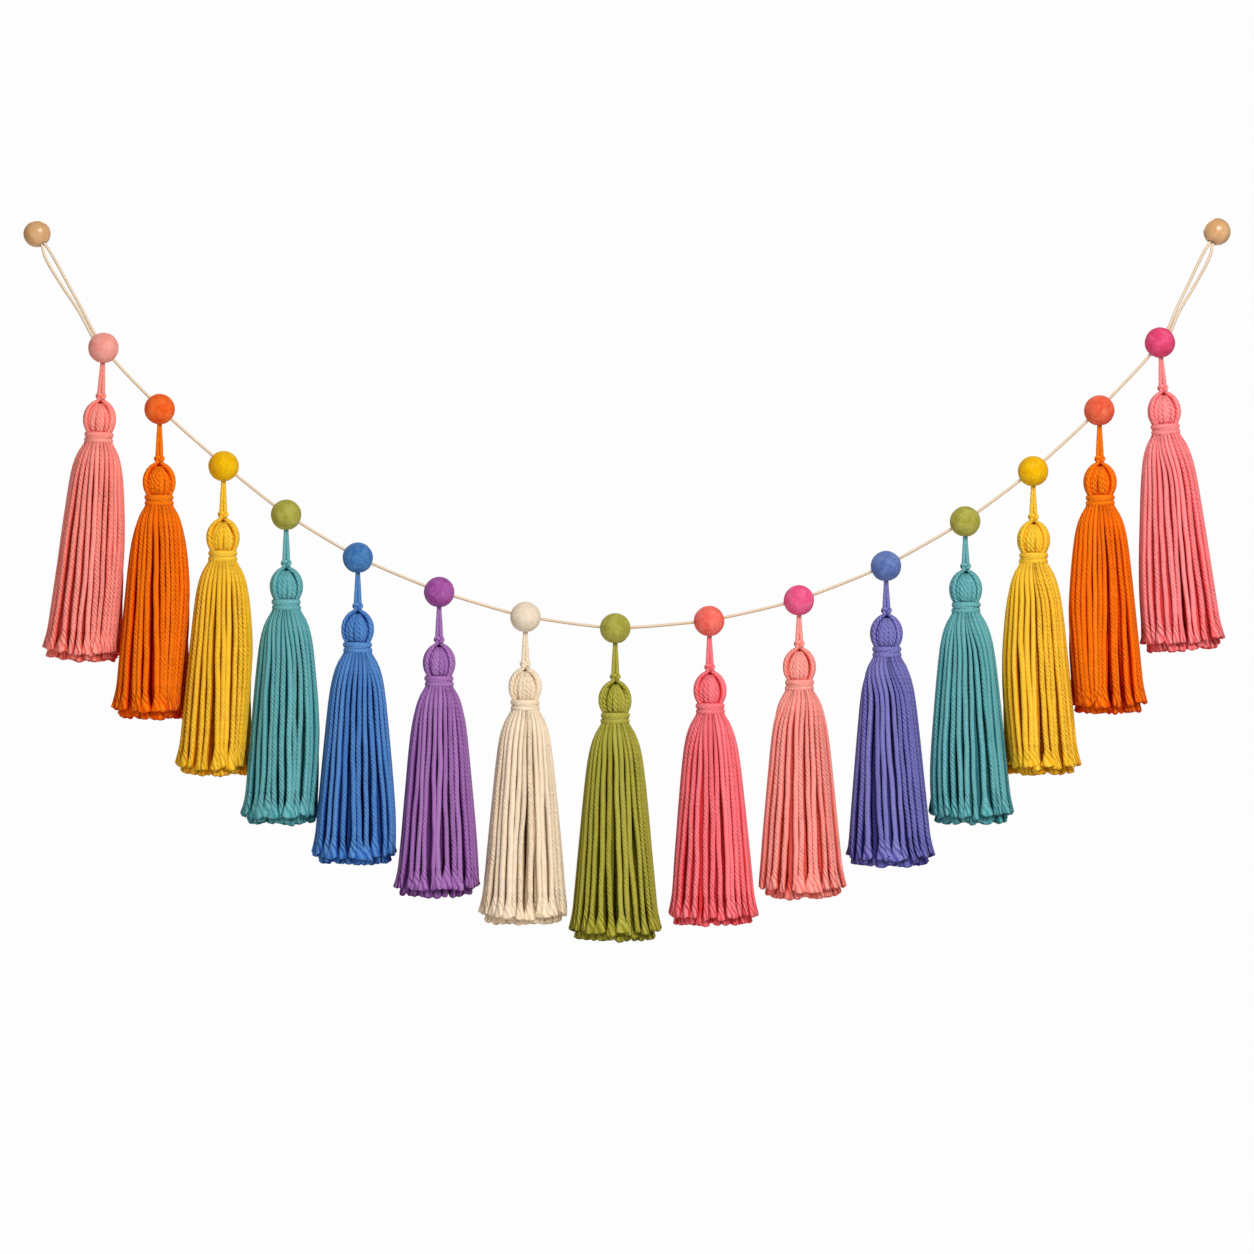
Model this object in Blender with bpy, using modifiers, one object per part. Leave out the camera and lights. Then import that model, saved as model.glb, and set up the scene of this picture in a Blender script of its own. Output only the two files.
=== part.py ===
"""Tassel garland on a string.

Fifteen yarn tassels hang from felt balls threaded on one sagging string. At each end the string
is turned back through a wooden bead and leaves a long narrow loop to hang the garland by.
Metres, +Z up, +X along the garland to the right, -Y to the front. The origin is the point
inside the left loop, just under its bead, where a pin or a hook holds the garland.
"""

import math
from collections import namedtuple

import bmesh
import bpy
from mathutils import Matrix, Vector

MM = 0.001
CLEARANCE = 0.3 * MM

# The string and its two end loops
STRING_RADIUS = 1.0 * MM
HOOK_FROM_BEAD = 12.0 * MM
LOOP_LENGTH_LEFT = 86.7 * MM
LOOP_LENGTH_RIGHT = 81.8 * MM
LOOP_SLOPE_LEFT = math.radians(59.8)
STRANDS_APART = 2.3 * MM
TAIL_IN_BALL = 4.5 * MM

# Wooden beads
BEAD_RADIUS = 9.1 * MM
BEAD_BORE = 2.6 * MM
BEAD_TIP = math.radians(18.0)

# Felt balls, and how far above their centres the string runs
FELT_RADIUS = 10.1 * MM
STRING_RAISED = 0.8 * MM
POCKET_MOUTH = 3.1 * MM
POCKET_TOP = 4.5 * MM
POCKET_HEIGHT = 5.0 * MM
HOLE_SIDES = 6

# Hanger: like all of the tassel's sizes, its drops are measured from the ball's centre
HANGER_RADIUS = 1.0 * MM
EYE_ARCS = 3
EYE_RADIUS = (STRING_RADIUS + CLEARANCE + HANGER_RADIUS) / math.cos(0.5 * math.pi / EYE_ARCS)

# Binding round the neck
BINDING_TOP = 55.7 * MM
BINDING_HEIGHT = 6.9 * MM
BINDING_RADIUS = 9.6 * MM
NECK_RADIUS = 7.0 * MM

# Skirt of hanging locks
SKIRT_TOP = 62.9 * MM
OUTER_SHORTER = 4.0 * MM
SIDE_SHORTER = 2.0 * MM
ROOT_RADIUS = 9.3 * MM
BELL = 6.6 * MM
BELL_FADE = 11.0 * MM
SPREAD = 0.088
FLARE = 1.9 * MM
FLARE_LENGTH = 18.0 * MM
SKIRT_APART = 1.7 * MM
HEM_UNEVEN = 1.2 * MM
SIDES = 10
CENTRE_TASSEL = 7

# Share of the half-width, and drop, of the sections down one lock
OUTER_LOCK = ((0.70, 0.07), (0.73, 0.30), (0.73, 0.62), (0.72, 1.0))
OUTER_GAP = 0.6 * MM
OUTER_GAP_GROWTH = 1.4 * MM
INNER_LOCK = ((0.64, 0.16, 1.0),)
INNER_LOCK_ANGLE = math.radians(25.0)

# From the tassel's top to the underside of its neck: radius and drop
Turn = namedtuple("Turn", "radius drop")
BODY_PROFILE = (
    Turn(0.0 * MM, 30.2 * MM),
    Turn(3.2 * MM, 32.0 * MM),
    Turn(2.7 * MM, 34.8 * MM),
    Turn(8.9 * MM, 38.3 * MM),
    Turn(11.0 * MM, 45.5 * MM),
    Turn(9.4 * MM, 53.0 * MM),
    Turn(NECK_RADIUS, 55.3 * MM),
    Turn(NECK_RADIUS, 62.5 * MM),
    Turn(ROOT_RADIUS, SKIRT_TOP),
    Turn(6.2 * MM, SKIRT_TOP),
    Turn(5.2 * MM, SKIRT_TOP),
    Turn(1.8 * MM, SKIRT_TOP),
    Turn(0.0 * MM, SKIRT_TOP),
)

# Hanger legs from the knot up to the eye: drop, half the width over both legs, quarter-turn share
Leg = namedtuple("Leg", "drop offset turn")
HANGER_LEGS = (
    Leg(32.2 * MM, 1.5 * MM, 0.0),
    Leg(11.5 * MM, 1.2 * MM, 0.0),
    Leg(8.0 * MM, 1.6 * MM, 0.4),
    Leg(4.5 * MM, 2.0 * MM, 0.8),
)

# End loop, which sags: distance from the bead's centre, offset of each strand above the line
# from bead to ball, and reach to the front
LoopRow = namedtuple("LoopRow", "along string tail front")
LOOP_NEAR_BEAD = (
    LoopRow(2.85 * MM, 1.15 * MM, -1.15 * MM, 0.93 * MM),
    LoopRow(9.51 * MM, 1.15 * MM, -1.15 * MM, 3.09 * MM),
    LoopRow(12.5 * MM, 1.5 * MM, -2.3 * MM, 3.8 * MM),
    LoopRow(16.5 * MM, 1.7 * MM, -3.0 * MM, 3.9 * MM),
    LoopRow(24.0 * MM, 1.6 * MM, -3.4 * MM, 2.9 * MM),
    LoopRow(40.0 * MM, 1.1 * MM, -3.4 * MM, 0.9 * MM),
    LoopRow(58.0 * MM, 0.6 * MM, -2.5 * MM, 0.1 * MM),
)

# From left to right: distance and downward slope to the next ball, lean of the tassel to the
# right, how much a shorter hanger raises its head, and drop of its hem below the ball, in
# millimetres and degrees, and then the colours of the felt and the yarn
Hanging = namedtuple("Hanging", "gap slope lean raised hem felt yarn")
HANGINGS = (
    Hanging(54.5, 47.5, -3.0, 0.0, 205.0, "salmon", "coral"),
    Hanging(56.2, 41.7, -0.3, -0.8, 203.0, "tangerine", "marigold"),
    Hanging(52.0, 37.9, -0.5, 0.0, 202.5, "yellow", "mustard"),
    Hanging(54.8, 30.9, 0.1, 0.0, 203.0, "moss", "teal"),
    Hanging(57.9, 22.9, -0.1, 0.0, 201.0, "blue", "cobalt"),
    Hanging(58.9, 16.1, 0.0, 0.5, 199.5, "purple", "violet"),
    Hanging(59.4, 7.2, -0.2, 1.0, 201.5, "cream", "sand"),
    Hanging(61.8, -4.4, 0.0, 0.0, 204.5, "moss", "olive"),
    Hanging(60.4, -13.0, 0.7, 1.5, 199.0, "red coral", "melon"),
    Hanging(61.4, -21.5, 0.4, 3.3, 195.0, "rose", "peach"),
    Hanging(59.6, -29.4, 0.6, 2.6, 196.5, "periwinkle", "indigo"),
    Hanging(55.5, -36.5, 0.6, 2.4, 198.0, "moss", "teal"),
    Hanging(58.9, -42.5, 0.3, 1.8, 199.0, "yellow", "mustard"),
    Hanging(59.7, -48.2, 0.6, 0.0, 198.5, "vermilion", "marigold"),
    Hanging(0.0, -62.8, 3.6, 2.0, 201.5, "raspberry", "pink"),
)
COLOURS = {
    "salmon": (0.95, 0.64, 0.59),
    "tangerine": (0.95, 0.42, 0.18),
    "yellow": (0.94, 0.73, 0.06),
    "moss": (0.67, 0.65, 0.29),
    "blue": (0.27, 0.48, 0.69),
    "purple": (0.63, 0.33, 0.61),
    "cream": (0.91, 0.85, 0.75),
    "red coral": (0.95, 0.45, 0.39),
    "rose": (0.93, 0.38, 0.55),
    "periwinkle": (0.40, 0.48, 0.72),
    "vermilion": (0.94, 0.40, 0.29),
    "raspberry": (0.92, 0.31, 0.49),
    "coral": (0.95, 0.50, 0.45),
    "marigold": (0.92, 0.41, 0.04),
    "mustard": (0.92, 0.70, 0.16),
    "teal": (0.34, 0.58, 0.60),
    "cobalt": (0.25, 0.42, 0.65),
    "violet": (0.56, 0.38, 0.61),
    "sand": (0.91, 0.82, 0.70),
    "olive": (0.60, 0.57, 0.22),
    "melon": (0.93, 0.40, 0.43),
    "peach": (0.93, 0.53, 0.49),
    "indigo": (0.40, 0.38, 0.63),
    "pink": (0.95, 0.50, 0.50),
    "string": (0.90, 0.80, 0.68),
    "wood": (0.86, 0.69, 0.48),
}


# ---------------------------------------------------------------- scene, materials, objects

def clear_scene():
    """Start from an empty file."""
    for old in list(bpy.data.objects):
        bpy.data.objects.remove(old, do_unlink=True)


def new_collection(name):
    collection = bpy.data.collections.new(name)
    bpy.context.scene.collection.children.link(collection)
    return collection


def linear(value):
    """A display colour value as the linear value a shader takes."""
    if value <= 0.04045:
        return value / 12.92
    return ((value + 0.055) / 1.055) ** 2.4


def material(kind, colour, roughness):
    """One Principled material for a kind of stuff in one colour."""
    name = kind + " " + colour
    if name in bpy.data.materials:
        return bpy.data.materials[name]
    made = bpy.data.materials.new(name)
    made.use_nodes = True
    shader = made.node_tree.nodes["Principled BSDF"]
    shader.inputs["Base Color"].default_value = [linear(v) for v in COLOURS[colour]] + [1.0]
    shader.inputs["Roughness"].default_value = roughness
    shader.inputs["Metallic"].default_value = 0.0
    return made


def place(name, mesh, collection, matrix, finish=None):
    """Link a mesh as an object at a place."""
    placed = bpy.data.objects.new(name, mesh)
    collection.objects.link(placed)
    placed.matrix_world = matrix
    if finish is not None:
        mesh.materials.append(finish)
        mesh.shade_smooth()
        mesh.set_sharp_from_angle(angle=math.radians(50.0))
    return placed


def as_mesh(source):
    """The evaluated mesh of an object, which is then removed."""
    bpy.context.view_layer.update()
    graph = bpy.context.evaluated_depsgraph_get()
    mesh = bpy.data.meshes.new_from_object(source.evaluated_get(graph))
    bpy.data.objects.remove(source, do_unlink=True)
    return mesh


def cutter(name, mesh, matrix):
    """A helper solid that cuts or joins another, out of the render."""
    helper = place(name, mesh, cutters, matrix)
    helper.hide_render = True
    helper.display_type = "WIRE"
    return helper


def boolean(target, helper, operation):
    step = target.modifiers.new(operation.title(), "BOOLEAN")
    step.operation = operation
    step.solver = "EXACT"
    step.object = helper


def turned(name, profile, closed):
    """A mesh turned round Z from a profile of radius and drop, run from top to bottom."""
    outline = bmesh.new()
    points = [outline.verts.new((turn.radius, 0.0, -turn.drop)) for turn in profile]
    for upper, lower in zip(points, points[1:]):
        outline.edges.new((upper, lower))
    if closed:
        outline.edges.new((points[-1], points[0]))
    mesh = bpy.data.meshes.new(name)
    outline.to_mesh(mesh)
    outline.free()
    spun = bpy.data.objects.new(name, mesh)
    cutters.objects.link(spun)
    screw = spun.modifiers.new("Turn", "SCREW")
    screw.steps = SIDES
    screw.render_steps = SIDES
    screw.use_merge_vertices = True
    screw.merge_threshold = 0.00001
    return as_mesh(spun)


def cone(name, lower_radius, upper_radius, height):
    """A capped cone or cylinder round Z, centred on the origin."""
    shape = bmesh.new()
    bmesh.ops.create_cone(
        shape, cap_ends=True, segments=HOLE_SIDES, radius1=lower_radius, radius2=upper_radius, depth=height
    )
    mesh = bpy.data.meshes.new(name)
    shape.to_mesh(mesh)
    shape.free()
    return mesh


def tube(name, points, radius, resolution, cyclic, collection):
    """A round tube along points, as a curve with a bevel."""
    curve = bpy.data.curves.new(name, "CURVE")
    curve.dimensions = "3D"
    curve.bevel_depth = radius
    curve.bevel_resolution = resolution
    curve.use_fill_caps = True
    spline = curve.splines.new("POLY")
    spline.points.add(len(points) - 1)
    for knot, point in zip(spline.points, points):
        knot.co = (point.x, point.y, point.z, 1.0)
    spline.use_cyclic_u = cyclic
    strand = bpy.data.objects.new(name, curve)
    collection.objects.link(strand)
    return strand


# ---------------------------------------------------------------- where things hang

def slope_after(index):
    """Downward slope angle of the string to the right of a ball."""
    return math.radians(HANGINGS[index].slope)


def direction(angle):
    """Unit vector running to the right and down at an angle."""
    return Vector((math.cos(angle), 0.0, -math.sin(angle)))


def above(run):
    """Unit vector square to a run, on its upper side."""
    up = Vector((-run.z, 0.0, run.x))
    return up if up.z > 0.0 else -up


def ball_centres():
    """Centres of the felt balls, from the left hook to the right."""
    centre = direction(LOOP_SLOPE_LEFT) * (LOOP_LENGTH_LEFT - HOOK_FROM_BEAD)
    centres = [centre]
    for index, hanging in enumerate(HANGINGS[:-1]):
        centre = centre + direction(slope_after(index)) * hanging.gap * MM
        centres.append(centre)
    return centres


def bore_angle(index):
    """Slope of the string inside a ball: the mean of the runs on its two sides."""
    before = LOOP_SLOPE_LEFT if index == 0 else slope_after(index - 1)
    return 0.5 * (before + slope_after(index))


def bore_centre(index):
    """Middle of the string inside a ball, a little above the ball's centre."""
    return CENTRES[index] + above(direction(bore_angle(index))) * STRING_RAISED


CENTRES = ball_centres()
LEFT_BEAD = direction(LOOP_SLOPE_LEFT) * -HOOK_FROM_BEAD
RIGHT_BEAD = CENTRES[-1] + direction(slope_after(-1)) * LOOP_LENGTH_RIGHT


def tassel_matrix(index):
    """Frame at the ball's centre that leans with the tassel."""
    lean = math.radians(HANGINGS[index].lean)
    return Matrix.Translation(CENTRES[index]) @ Matrix.Rotation(-lean, 4, "Y")


def bundle_matrix(index):
    """Frame of the head, neck and skirt: the tassel's, raised where its hanger is shorter."""
    return tassel_matrix(index) @ Matrix.Translation((0.0, 0.0, HANGINGS[index].raised * MM))


def skirt_length(index):
    """Drop of the longest, inner locks below the neck."""
    return (HANGINGS[index].hem + HANGINGS[index].raised) * MM - SKIRT_TOP


# ---------------------------------------------------------------- the string

def loop_strand(bead, ball, column):
    """Points of one strand of an end loop, from inside the bead to short of the ball."""
    run = (ball - bead).normalized()
    front = Vector((0.0, -1.0, 0.0))
    points = []
    for row in LOOP_NEAR_BEAD:
        offset = above(run) * getattr(row, column)
        points.append(bead + run * row.along + offset + front * row.front)
    return points


def string_points():
    """Route of the string from inside the left bead to inside the right bead."""
    points = loop_strand(LEFT_BEAD, CENTRES[0], "string")
    for index in range(len(CENTRES)):
        way = direction(bore_angle(index))
        points.append(bore_centre(index) - way * FELT_RADIUS)
        points.append(bore_centre(index) + way * FELT_RADIUS)
    points.extend(reversed(loop_strand(RIGHT_BEAD, CENTRES[-1], "string")))
    return points


def tail_way(index):
    """Direction in which a turned-back tail runs into its felt ball."""
    way = direction(bore_angle(index))
    return way if index == 0 else -way


def tail_mouth(index):
    """Where a turned-back tail enters its felt ball, just below the string."""
    way = tail_way(index)
    return bore_centre(index) - way * FELT_RADIUS - above(way) * STRANDS_APART


def tail_points(bead, index):
    """Route of a turned-back tail from inside its bead to inside the felt ball."""
    mouth = tail_mouth(index)
    return loop_strand(bead, CENTRES[index], "tail") + [mouth, mouth + tail_way(index) * TAIL_IN_BALL]


def make_string():
    """The string and the two tails that double its end loops."""
    finish = material("string", "string", 0.8)
    runs = (
        ("string", string_points()),
        ("string_tail_left", tail_points(LEFT_BEAD, 0)),
        ("string_tail_right", tail_points(RIGHT_BEAD, len(CENTRES) - 1)),
    )
    for name, points in runs:
        strand = tube(name, points, STRING_RADIUS, 2, False, garland)
        strand.data.materials.append(finish)


# ---------------------------------------------------------------- beads and felt balls

def flat_radius(radius, sides):
    """Radius at the corners of a many-sided hole whose flats lie at a radius."""
    return radius / math.cos(math.pi / sides)


def towards(way):
    """Rotation that brings local Z onto a direction."""
    return way.to_track_quat("Z", "Y").to_matrix().to_4x4()


def make_bead(name, centre, ball):
    """A turned wooden bead, its hole along the loop and tipped a little to the front."""
    rim = math.asin(BEAD_BORE / BEAD_RADIUS)
    steps = 7
    profile = []
    for step in range(steps + 1):
        angle = rim + (math.pi - 2.0 * rim) * step / steps
        profile.append(Turn(BEAD_RADIUS * math.sin(angle), -BEAD_RADIUS * math.cos(angle)))
    run = (ball - centre).normalized()
    way = run * math.cos(BEAD_TIP) + Vector((0.0, -1.0, 0.0)) * math.sin(BEAD_TIP)
    matrix = Matrix.Translation(centre) @ towards(way)
    place(name, turned(name, profile, True), garland, matrix, material("wood", "wood", 0.35))


def make_felt_ball(index):
    """A felt ball with a hole for the string and a pocket below for the hanger."""
    shape = bmesh.new()
    bmesh.ops.create_uvsphere(shape, u_segments=10, v_segments=6, radius=FELT_RADIUS)
    name = "felt_ball_%02d" % (index + 1)
    mesh = bpy.data.meshes.new(name)
    shape.to_mesh(mesh)
    shape.free()
    centre = Matrix.Translation(CENTRES[index])
    way = direction(bore_angle(index))
    finish = material("felt", HANGINGS[index].felt, 0.95)
    ball = place(name, mesh, garland, centre, finish)

    bore_radius = flat_radius(STRING_RADIUS + CLEARANCE, HOLE_SIDES)
    through = cone(name + "_bore", bore_radius, bore_radius, 3.0 * FELT_RADIUS)
    middle = Matrix.Translation(bore_centre(index))
    boolean(ball, cutter(name + "_bore", through, middle @ towards(way)), "DIFFERENCE")

    depth = FELT_RADIUS + 2.0 * MM + POCKET_HEIGHT
    pocket = cone(name + "_pocket", POCKET_MOUTH, POCKET_TOP, depth)
    raised = Matrix.Translation((0.0, 0.0, POCKET_HEIGHT - 0.5 * depth))
    boolean(ball, cutter(name + "_pocket", pocket, tassel_matrix(index) @ raised), "DIFFERENCE")

    if index in (0, len(HANGINGS) - 1):
        reach = 2.0 * (TAIL_IN_BALL + CLEARANCE)
        tail = cone(name + "_tail_bore", bore_radius, bore_radius, reach)
        mouth = Matrix.Translation(tail_mouth(index))
        boolean(ball, cutter(name + "_tail_bore", tail, mouth @ towards(tail_way(index))), "DIFFERENCE")


# ---------------------------------------------------------------- tassels

def skirt_radius(index, drop):
    """Free half-width of a skirt at a drop below its neck."""
    bell = BELL * (1.0 - math.exp(-drop / BELL_FADE))
    flare = max(0.0, 1.0 - (skirt_length(index) - drop) / FLARE_LENGTH)
    return ROOT_RADIUS + bell + SPREAD * drop + FLARE * min(flare, 1.0) ** 2


def skirt_edge(index, height, side):
    """World X of the free edge of a skirt on one side, at a world height."""
    top = bundle_matrix(index) @ Vector((0.0, 0.0, -SKIRT_TOP))
    lean = math.radians(HANGINGS[index].lean)
    below = top.z - height
    drop = min(max(below / math.cos(lean), 0.0), skirt_length(index))
    return top.x + below * math.tan(lean) + side * skirt_radius(index, drop)


def half_widths(index, drop):
    """Left and right half-widths of a skirt, pressed where it meets its lower neighbour."""
    free = skirt_radius(index, drop)
    if index == CENTRE_TASSEL:
        return free, free
    side = 1 if index < CENTRE_TASSEL else -1
    axis = bundle_matrix(index) @ Vector((0.0, 0.0, -SKIRT_TOP - drop))
    edge = skirt_edge(index + side, axis.z, -side)
    pressed = min(free, side * (edge - axis.x) - SKIRT_APART)
    return (free, pressed) if side > 0 else (pressed, free)


def skirt_point(index, share, angle, drop):
    """Point of a skirt in its bundle's frame, at a share of the half-width and an angle."""
    left, right = half_widths(index, drop)
    width = right if math.cos(angle) > 0.0 else left
    depth = skirt_radius(index, drop)
    return Vector(
        (width * share * math.cos(angle), depth * share * math.sin(angle), -SKIRT_TOP - drop)
    )


def root_faces(shape, low, high):
    """Faces of the neck's underside between two radii, in order round the axis."""
    found = []
    for face in shape.faces:
        middle = face.calc_center_median()
        if face.normal.z < -0.99 and low < math.hypot(middle.x, middle.y) < high:
            found.append(face)
    return sorted(found, key=lambda face: math.atan2(*face.calc_center_median().yx))


def draw_down(shape, face, place_corner, sections):
    """Draw a lock down from its root face, section by section."""
    middle = face.calc_center_median()
    centre_angle = math.atan2(middle.y, middle.x)
    middle_radius = math.hypot(middle.x, middle.y)
    corners = []
    for vertex in face.verts:
        turn = math.remainder(math.atan2(vertex.co.y, vertex.co.x) - centre_angle, 2.0 * math.pi)
        outer = math.hypot(vertex.co.x, vertex.co.y) > middle_radius
        corners.append((outer, math.copysign(1.0, turn)))
    for section in sections:
        made = bmesh.ops.extrude_discrete_faces(shape, faces=[face])
        face = made["faces"][0]
        for vertex, (outer, hand) in zip(face.verts, corners):
            vertex.co = place_corner(centre_angle, outer, hand, section)


def outer_length(index, number, angle):
    """Length of an outer lock: a little uneven, and shorter at the sides than in front."""
    uneven = HEM_UNEVEN * math.sin(2.4 * number + 1.7 * index)
    return skirt_length(index) - OUTER_SHORTER - SIDE_SHORTER * math.cos(angle) ** 2 + uneven


def draw_outer_locks(shape, index):
    """The ring of locks on the outside of the skirt."""
    for number, face in enumerate(root_faces(shape, 6.3 * MM, ROOT_RADIUS)):

        def corner(centre_angle, outer, hand, section):
            inner_share, along = section
            drop = along * outer_length(index, number, centre_angle)
            gap = OUTER_GAP + OUTER_GAP_GROWTH * along
            half = math.pi / SIDES - 0.5 * gap / skirt_radius(index, drop)
            return skirt_point(index, 1.0 if outer else inner_share, centre_angle + hand * half, drop)

        draw_down(shape, face, corner, OUTER_LOCK)


def draw_inner_locks(shape, index):
    """The fewer, longer locks inside the skirt."""
    for face in root_faces(shape, 2.0 * MM, 5.2 * MM)[::2]:

        def corner(centre_angle, outer, hand, section):
            outer_share, inner_share, along = section
            share = outer_share if outer else inner_share
            drop = skirt_length(index) * along
            return skirt_point(index, share, centre_angle + hand * INNER_LOCK_ANGLE, drop)

        draw_down(shape, face, corner, INNER_LOCK)


def hanger_points(index):
    """Closed route of the hanger: up one leg, over the string and down the other leg."""
    middle = tassel_matrix(index).inverted() @ bore_centre(index)
    lean = math.radians(HANGINGS[index].lean)
    over = above(direction(bore_angle(index) + lean))
    back = Vector((0.0, 1.0, 0.0))
    rising = []
    for leg in HANGER_LEGS:
        angle = leg.turn * 0.5 * math.pi
        rising.append(Vector((leg.offset * math.cos(angle), leg.offset * math.sin(angle), -leg.drop)))
    rising[0].z += HANGINGS[index].raised * MM
    falling = [Vector((-point.x, -point.y, point.z)) for point in reversed(rising)]
    eye = []
    for step in range(EYE_ARCS + 1):
        angle = math.pi * step / EYE_ARCS
        round_string = back * math.cos(angle) + over * math.sin(angle)
        eye.append(middle + round_string * EYE_RADIUS)
    return rising + eye + falling


def make_tassel(index):
    """One tassel: head, neck and locks in one body, with its hanger joined on."""
    name = "tassel_%02d" % (index + 1)
    finish = material("yarn", HANGINGS[index].yarn, 0.9)
    mesh = turned(name, BODY_PROFILE, False)
    shape = bmesh.new()
    shape.from_mesh(mesh)
    shape.normal_update()
    draw_inner_locks(shape, index)
    draw_outer_locks(shape, index)
    shape.to_mesh(mesh)
    shape.free()
    tassel = place(name, mesh, garland, bundle_matrix(index), finish)

    loop = as_mesh(tube(name + "_hanger", hanger_points(index), HANGER_RADIUS, 0, True, cutters))
    boolean(tassel, cutter(name + "_hanger", loop, tassel_matrix(index)), "UNION")


def make_binding(index):
    """Two windings of yarn round a tassel's neck."""
    name = "binding_%02d" % (index + 1)
    inner = NECK_RADIUS + CLEARANCE
    bottom = BINDING_TOP + BINDING_HEIGHT
    middle = BINDING_TOP + 0.5 * BINDING_HEIGHT
    profile = (
        Turn(inner, BINDING_TOP + 1.0 * MM),
        Turn(BINDING_RADIUS, BINDING_TOP + 0.22 * BINDING_HEIGHT),
        Turn(BINDING_RADIUS - 0.5 * MM, middle),
        Turn(BINDING_RADIUS, BINDING_TOP + 0.78 * BINDING_HEIGHT),
        Turn(inner, bottom - 1.0 * MM),
    )
    finish = material("yarn", HANGINGS[index].yarn, 0.9)
    place(name, turned(name, profile, True), garland, bundle_matrix(index), finish)


clear_scene()
garland = new_collection("tassel garland")
cutters = new_collection("cutters")
make_string()
make_bead("wood_bead_left", LEFT_BEAD, CENTRES[0])
make_bead("wood_bead_right", RIGHT_BEAD, CENTRES[-1])
for tassel_index in range(len(HANGINGS)):
    make_felt_ball(tassel_index)
    make_tassel(tassel_index)
    make_binding(tassel_index)
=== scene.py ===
"""Dresses the tassel garland in yarn, felt, string and wood.

Each tassel is laid up strand by strand, as it is made: a head of folded strands under the knot of
its hanger, two windings and a crossing end round the neck, and five rings of plied strands, one
inside another, that hang down and open at their cut ends. Felt balls and wooden beads are cut to
let the string through.
Metres, +Z up, +X along the garland, -Y to the front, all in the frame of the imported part.
"""

import math
from collections import namedtuple

import bpy
import numpy as np
from mathutils import Matrix, Vector, noise


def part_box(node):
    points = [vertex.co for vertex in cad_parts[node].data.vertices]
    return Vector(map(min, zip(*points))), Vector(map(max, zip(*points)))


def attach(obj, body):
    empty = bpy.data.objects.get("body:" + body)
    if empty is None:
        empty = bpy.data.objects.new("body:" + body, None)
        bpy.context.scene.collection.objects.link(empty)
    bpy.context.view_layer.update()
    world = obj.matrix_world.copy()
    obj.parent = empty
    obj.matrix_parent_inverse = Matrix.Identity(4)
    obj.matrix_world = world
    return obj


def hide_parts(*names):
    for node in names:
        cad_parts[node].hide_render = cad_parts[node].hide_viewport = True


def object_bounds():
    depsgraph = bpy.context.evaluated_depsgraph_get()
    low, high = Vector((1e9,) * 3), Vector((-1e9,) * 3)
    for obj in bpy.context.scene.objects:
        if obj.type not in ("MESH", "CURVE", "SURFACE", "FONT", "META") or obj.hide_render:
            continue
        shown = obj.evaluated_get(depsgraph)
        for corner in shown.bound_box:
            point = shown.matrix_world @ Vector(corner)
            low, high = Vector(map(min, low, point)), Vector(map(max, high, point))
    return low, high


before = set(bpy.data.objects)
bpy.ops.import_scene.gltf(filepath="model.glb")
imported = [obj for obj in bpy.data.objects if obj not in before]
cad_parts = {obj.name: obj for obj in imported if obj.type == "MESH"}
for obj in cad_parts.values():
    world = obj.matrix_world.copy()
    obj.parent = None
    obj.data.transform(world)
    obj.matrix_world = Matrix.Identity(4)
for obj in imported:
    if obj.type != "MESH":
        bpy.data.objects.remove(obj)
frame_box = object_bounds()

MM = 0.001

# String and end loops
STRING_RADIUS = 1.0 * MM
STRING_RAISED = 0.8 * MM
STRING_CLEAR = 0.15 * MM
STRANDS_APART = 2.3 * MM
TAIL_IN_BALL = 4.5 * MM

# Beads and balls
BEAD_BORE = 2.6 * MM
BEAD_TIP = math.radians(18.0)
BEAD_RIM = 0.45 * MM
FELT_RADIUS = 10.1 * MM
FELT_LUMPS = 0.16 * MM
FELT_ROUGHNESS = 0.03 * MM
FELT_SHRUNK = 0.08 * MM
POCKET_MOUTH = 2.5 * MM
POCKET_TOP = 4.3 * MM
POCKET_HEIGHT = 5.0 * MM
CUTTER_PAST = 2.0 * MM

# Head and neck of a tassel: drops are measured down from the ball's centre, angles in radians
KNOT_MIDDLE = 32.3 * MM
KNOT_WIDTH = 0.75 * MM
KNOT_HEIGHT = 0.66 * MM
KNOT_DEPTH = 1.4 * MM
KNOT_HALVES = (1.6 * MM, 1.55 * MM)
HEAD_TOP = 35.0 * MM
HEAD_WIDEST = 46.8 * MM
HEAD_RADIUS = 11.2 * MM
HEAD_FALL = 12.5 * MM
HEAD_STRANDS = 17
HEAD_START = 0.16
NOTCH_START = 0.72
NOTCH_REACH = math.radians(50.0)
NOTCH_GATHER = 0.6
SHOULDER_START = 0.8
SHOULDER_TOP = ((0.9 * MM, 2.0 * MM, 34.8 * MM), (2.9 * MM, 4.2 * MM, 36.2 * MM))
FILLING_TOP = 38.2 * MM
NECK_DROP = 55.4 * MM
NECK_RADIUS = 6.9 * MM
NECK_HIDDEN = 3.0 * MM
WINDING_DROPS = (57.15 * MM, 60.85 * MM)
WINDING_RADIUS = 8.1 * MM
WINDING_TURNS = 1.02
WINDING_HALVES = (1.5 * MM, 1.9 * MM)
CROSSING_HALVES = (0.85 * MM, 0.9 * MM)
CROSSING_REACH = 1.15
FULL_TURN = 2.0 * math.pi
FRONT = -0.25 * FULL_TURN

# Skirt of a tassel: how wide it hangs, and how it meets the skirt beside it
SKIRT_TOP = 62.9 * MM
ROOT_RADIUS = 9.3 * MM
BELL = 7.5 * MM
BELL_FADE = 11.0 * MM
SPREAD = 0.088
FLARE = 1.9 * MM
FLARE_LENGTH = 18.0 * MM
SKIRT_APART = 0.9 * MM
BEHIND_EASE = 0.2
PRESSED_EASE = 3.0 * MM
CENTRE_TASSEL = 7

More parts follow.
